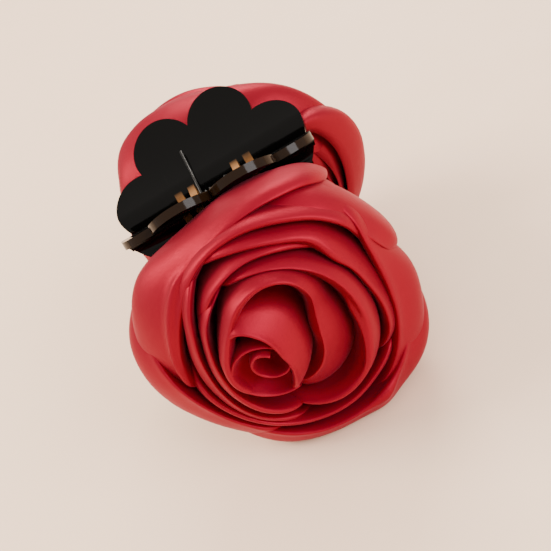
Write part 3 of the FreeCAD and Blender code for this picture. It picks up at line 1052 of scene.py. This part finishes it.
@dataclass(frozen=True)
class FeltBacking:
    """The felt disc under a rose, hand cut, so its edge wanders a little."""

    side: Side
    radius: float = 23.9
    thick: float = 2.0

    def build(self, felt: bpy.types.Material) -> bpy.types.Object:
        """Makes the disc: a profile from the back, round the edge to the front, carried round the axis."""
        rose = RoseFrame(self.side)
        angle = np.linspace(0.0, 2.0 * math.pi, 121)[:, None]
        bulge = np.linspace(-math.pi / 2.0, math.pi / 2.0, 9)
        edge = self.thick / 2.0
        out = np.concatenate(([0.0, 0.35, 0.7], 1.0 + 0.0 * bulge, [0.7, 0.35, 0.0]))[None, :]
        trim = np.concatenate((np.zeros(3), edge * (np.cos(bulge) - 1.0), np.zeros(3)))[None, :]
        height = np.concatenate((np.zeros(3), edge * (1.0 + np.sin(bulge)), np.full(3, self.thick)))[None, :]
        wander = 1.0 - 0.012 * (1.0 + np.sin(5.0 * angle + 0.8) * np.cos(3.0 * angle)) / 2.0
        radius = (self.radius * wander) * out + trim
        points = rose.place(radius * np.cos(angle), radius * np.sin(angle), height + 0.0 * angle)
        item = grid_object(f"{self.side.value}_felt_disc", points, np.zeros(points.shape[:2]))
        weld(item)
        item.data.materials.append(felt)
        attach(item, self.side.body)
        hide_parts(f"{self.side.value}_felt_backing")
        LOG.info("%s: felt disc, %.0f mm across", item.name, 2.0 * self.radius)
        return item


def weld(item: bpy.types.Object) -> None:
    """Merges a grid's seam and poles and turns its faces outwards."""
    work = bmesh.new()
    work.from_mesh(item.data)
    bmesh.ops.remove_doubles(work, verts=work.verts, dist=SEAM_GAP)
    bmesh.ops.recalc_face_normals(work, faces=work.faces)
    work.to_mesh(item.data)
    work.free()


# ---------------------------------------------------------------- the clip's own parts


@dataclass
class ClawClip:
    """The moulded jaws, pin, spring and glue: frame nodes that get their finishes."""

    effects: EffectLibrary
    ears: tuple[float, ...] = (0.0073, 0.0117)
    wire: float = 0.00045

    @property
    def pin_height(self) -> float:
        """Height of the hinge pin's axis."""
        low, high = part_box("hinge_pin")
        return float(low[2] + high[2]) / 2.0

    def dress(self) -> None:
        """Puts a finish on each of the frame's nodes that stays in view."""
        plastic = MouldedPlasticFinish("moulded_black", self.pin_height, self.ears).build(self.effects)
        steel = SteelFinish("drawn_steel").build(self.effects)
        dark, stain = (0.03, 0.029, 0.028, 1.0), (0.02, 0.018, 0.016, 1.0)
        wire = SteelFinish("spring_wire", bright=dark, tarnish=stain, dull=0.30).build(self.effects)
        glue = GlueFinish("set_glue").build(self.effects)
        finishes = {
            "front_jaw": plastic,
            "back_jaw": plastic,
            "hinge_pin": steel,
            "front_glue_pad": glue,
            "back_glue_pad": glue,
        }
        for node, material in finishes.items():
            mesh = frame["nodes"][node].data
            mesh.materials.clear()
            mesh.materials.append(material)
            LOG.info("%s: %s", node, material.name)
        self.spring(wire)

    def spring(self, wire: bpy.types.Material) -> bpy.types.Object:
        """Makes a smooth welded copy of the frame's spring, in place of its node."""
        mesh = frame["nodes"]["torsion_spring"].data.copy()
        mesh.materials.clear()
        mesh.materials.append(wire)
        item = bpy.data.objects.new("wound_spring", mesh)
        bpy.context.scene.collection.objects.link(item)
        weld(item)
        mesh.polygons.foreach_set("use_smooth", np.ones(len(mesh.polygons), dtype=bool))
        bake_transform(item)
        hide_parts("torsion_spring")
        LOG.info("%s: wound wire between both halves", item.name)
        return item


# ---------------------------------------------------------------- the studio


@dataclass(frozen=True)
class SoftLamp:
    """One square soft lamp: where it hangs, what it faces, its size, power and colour."""

    name: str
    place: tuple[float, float, float]
    size: float
    power: float
    colour: tuple[float, float, float]

    def hang(self, target: Vector) -> None:
        """Hangs the lamp and turns it to its target."""
        data = bpy.data.lights.new(self.name, "AREA")
        data.shape = "SQUARE"
        data.size = self.size
        data.energy = self.power
        data.color = self.colour
        lamp = bpy.data.objects.new(self.name, data)
        lamp.location = self.place
        lamp.rotation_euler = (target - Vector(self.place)).to_track_quat("-Z", "Y").to_euler()
        bpy.context.scene.collection.objects.link(lamp)


@dataclass
class Studio:
    """Table, soft lamps, world and camera."""

    pin: Vector
    azimuth: float = 8.21
    elevation: float = 35.6
    roll: float = 34.66
    distance: float = 0.29436
    aside: tuple[float, float] = (0.01624, -0.02515)
    focal: float = 1000.0
    frame_width: float = 551.0
    sensor: float = 36.0
    aim_drop: float = 0.015
    table_half: float = 3.0

    def table(self, finish: bpy.types.Material) -> None:
        """Lays the table top."""
        ends = (-self.table_half, self.table_half)
        points = np.array([[(x, y, 0.0) for y in ends] for x in ends])
        top = grid_object("table_top", points, np.zeros((2, 2)))
        top.data.materials.append(finish)

    def lamps(self) -> None:
        """Hangs the lamps: a warm one on the left, a pale one behind, and a cool one at the front right."""
        for lamp in (
            SoftLamp("key_lamp", (-0.80, 0.25, 0.85), 0.55, 16.0, (1.0, 0.92, 0.84)),
            SoftLamp("back_lamp", (0.35, 1.00, 0.80), 0.60, 14.0, (1.0, 0.96, 0.90)),
            SoftLamp("fill_lamp", (0.75, -0.70, 0.60), 0.60, 14.0, (0.96, 0.97, 1.0)),
        ):
            lamp.hang(self.pin - Vector((0.0, 0.0, self.aim_drop)))

    def world(self) -> None:
        """Fills the room with an even pale light."""
        world = bpy.data.worlds.new("pale_room")
        world.use_nodes = True
        background = world.node_tree.nodes["Background"]
        background.inputs["Color"].default_value = (1.0, 0.93, 0.86, 1.0)
        background.inputs["Strength"].default_value = 1.35
        bpy.context.scene.world = world

    def camera(self) -> None:
        """Sets the camera: it looks down by the elevation, turned by the azimuth and rolled by the roll."""
        turn, rise, roll = (math.radians(a) for a in (self.azimuth, self.elevation, self.roll))
        back = Vector((math.sin(turn) * math.cos(rise), -math.cos(turn) * math.cos(rise), math.sin(rise)))
        level = Vector((math.cos(turn), math.sin(turn), 0.0))
        upright = back.cross(level)
        right = level * math.cos(roll) - upright * math.sin(roll)
        up = level * math.sin(roll) + upright * math.cos(roll)
        place = self.pin + back * self.distance + right * self.aside[0] + up * self.aside[1]
        data = bpy.data.cameras.new("view_camera")
        data.sensor_width = self.sensor
        data.lens = self.focal / self.frame_width * self.sensor
        data.clip_start = 0.01
        camera = bpy.data.objects.new("view_camera", data)
        camera.matrix_world = Matrix.Translation(place) @ Matrix((right, up, back)).transposed().to_4x4()
        bpy.context.scene.collection.objects.link(camera)
        bpy.context.scene.camera = camera


def main() -> None:
    """Builds the clip's looks in order and reports each piece."""
    logging.basicConfig(level=logging.INFO, format="%(message)s")
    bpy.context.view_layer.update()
    effects = EffectLibrary()
    clip = ClawClip(effects)
    clip.dress()
    felt = FeltFinish("red_felt").build(effects)
    for side in Side:
        FeltBacking(side).build(felt)
        Rose(side).build(SatinFinish(f"red_satin_{side.value}").build(effects))
    studio = Studio(Vector((0.0, 0.0, clip.pin_height)))
    studio.table(TableFinish("pale_table").build(effects))
    studio.lamps()
    studio.world()
    studio.camera()


if __name__ == "__main__":
    main()
